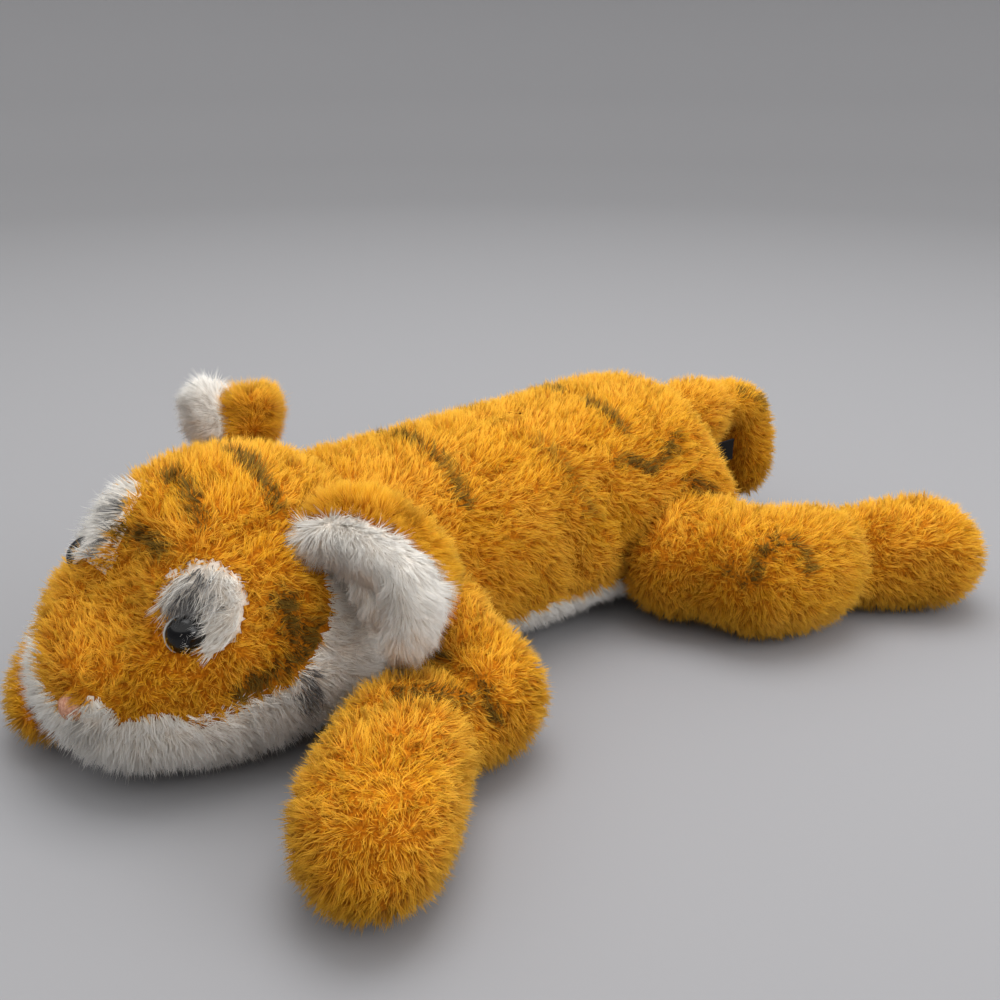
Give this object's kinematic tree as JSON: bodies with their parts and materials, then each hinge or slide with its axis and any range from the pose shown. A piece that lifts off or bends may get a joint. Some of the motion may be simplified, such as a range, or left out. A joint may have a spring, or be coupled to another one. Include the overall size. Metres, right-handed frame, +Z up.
{
  "type": "plush tiger",
  "caption": "Soft pile-fabric tiger lying flat on its belly, with a turning head, folding ears, swinging legs, bending paws and feet, and a drooping tail.",
  "frame": {"origin": "on the floor below the middle of the bounding box", "axes": "+X runs from the head to the tail, -Y is the left side of the toy, +Z is up"},
  "size_m": [0.449, 0.3214, 0.1397],
  "materials": {
    "orange_fabric": "soft pile",
    "white_fabric": "soft pile",
    "pink_fabric": "soft pile",
    "filling": "loose fibre",
    "pellets": "loose beads in fibre",
    "eye_black": "glossy",
    "washer_plastic": "matte",
    "label_fabric": "woven"
  },
  "bodies": {
    "torso": {"back_panel": "orange_fabric", "belly_panel": "white_fabric", "body_stuffing": "filling", "pellet_pouch": "pellets", "label_tab": "label_fabric"},
    "neck": {"neck_pad": "filling"},
    "head": {"crown_panel": "orange_fabric", "cheek_chin_panel": "white_fabric", "head_stuffing": "filling", "left_eye_patch": "white_fabric", "right_eye_patch": "white_fabric", "left_eye": "eye_black", "right_eye": "eye_black", "left_eye_washer": "washer_plastic", "right_eye_washer": "washer_plastic", "nose": "pink_fabric"},
    "left_ear": {"left_ear_back": "orange_fabric", "left_ear_front": "white_fabric"},
    "right_ear": {"right_ear_back": "orange_fabric", "right_ear_front": "white_fabric"},
    "tail_base": {"tail_base": "orange_fabric", "tail_base_stuffing": "filling"},
    "tail_end": {"tail_end": "orange_fabric", "tail_end_stuffing": "filling"},
    "left_front_leg": {"left_front_leg": "orange_fabric", "left_front_leg_stuffing": "filling"},
    "left_front_paw": {"left_front_paw": "orange_fabric", "left_front_paw_stuffing": "filling", "left_front_paw_pellets": "pellets"},
    "right_front_leg": {"right_front_leg": "orange_fabric", "right_front_leg_stuffing": "filling"},
    "right_front_paw": {"right_front_paw": "orange_fabric", "right_front_paw_stuffing": "filling", "right_front_paw_pellets": "pellets"},
    "left_hind_leg": {"left_hind_leg": "orange_fabric", "left_hind_leg_stuffing": "filling"},
    "left_hind_foot": {"left_hind_foot": "orange_fabric", "left_hind_foot_stuffing": "filling", "left_hind_foot_pellets": "pellets"},
    "right_hind_leg": {"right_hind_leg": "orange_fabric", "right_hind_leg_stuffing": "filling"},
    "right_hind_foot": {"right_hind_foot": "orange_fabric", "right_hind_foot_stuffing": "filling", "right_hind_foot_pellets": "pellets"}
  },
  "joints": [
    {"name": "head_turn", "type": "hinge", "parent": "torso", "child": "neck", "pos_m": [-0.1294, 0.00338, 0.06], "axis": [0, 0, 1], "range_deg": [0, 10]},
    {"name": "head_nod", "type": "hinge", "parent": "neck", "child": "head", "pos_m": [-0.1294, 0.00338, 0.06], "axis": [0, 1, 0], "range_deg": [0, 12]},
    {"name": "left_ear_fold", "type": "hinge", "parent": "head", "child": "left_ear", "pos_m": [-0.1094, -0.04462, 0.084], "axis": [-0.6214, -0.1102, -0.7757], "range_deg": [-10, 15]},
    {"name": "right_ear_fold", "type": "hinge", "parent": "head", "child": "right_ear", "pos_m": [-0.1014, 0.03838, 0.101], "axis": [-0.5549, -0.7982, 0.2343], "range_deg": [-25, 25]},
    {"name": "tail_swing", "type": "hinge", "parent": "torso", "child": "tail_base", "pos_m": [0.1186, 0.00338, 0.083], "axis": [0, 0, 1], "range_deg": [-30, 30]},
    {"name": "tail_bend", "type": "hinge", "parent": "tail_base", "child": "tail_end", "pos_m": [0.1806, 0.00338, 0.076], "axis": [0, -1, 0], "range_deg": [-10, 50]},
    {"name": "left_front_swing", "type": "hinge", "parent": "torso", "child": "left_front_leg", "pos_m": [-0.0654, -0.05062, 0.04], "axis": [0, 0, 1], "range_deg": [-5, 35]},
    {"name": "left_front_bend", "type": "hinge", "parent": "left_front_leg", "child": "left_front_paw", "pos_m": [-0.11284, -0.09805, 0.0268], "axis": [-0.6691, 0.7431, 0], "range_deg": [-25, 25]},
    {"name": "right_front_swing", "type": "hinge", "parent": "torso", "child": "right_front_leg", "pos_m": [-0.0654, 0.05738, 0.04], "axis": [0, 0, -1], "range_deg": [0, 25]},
    {"name": "right_front_bend", "type": "hinge", "parent": "right_front_leg", "child": "right_front_paw", "pos_m": [-0.15279, 0.07279, 0.0268], "axis": [-0.6691, 0.7431, 0], "range_deg": [-25, 0]},
    {"name": "left_hind_swing", "type": "hinge", "parent": "torso", "child": "left_hind_leg", "pos_m": [0.0786, -0.05262, 0.042], "axis": [0, 0, -1], "range_deg": [-15, 25]},
    {"name": "left_hind_bend", "type": "hinge", "parent": "left_hind_leg", "child": "left_hind_foot", "pos_m": [0.16103, -0.10898, 0.0268], "axis": [-0.5592, -0.829, 0], "range_deg": [-25, 25]},
    {"name": "right_hind_swing", "type": "hinge", "parent": "torso", "child": "right_hind_leg", "pos_m": [0.0786, 0.05938, 0.042], "axis": [0, 0, 1], "range_deg": [-15, 25]},
    {"name": "right_hind_bend", "type": "hinge", "parent": "right_hind_leg", "child": "right_hind_foot", "pos_m": [0.16489, 0.1176, 0.0268], "axis": [0.3746, -0.9272, 0], "range_deg": [-25, 25]}
  ]
}
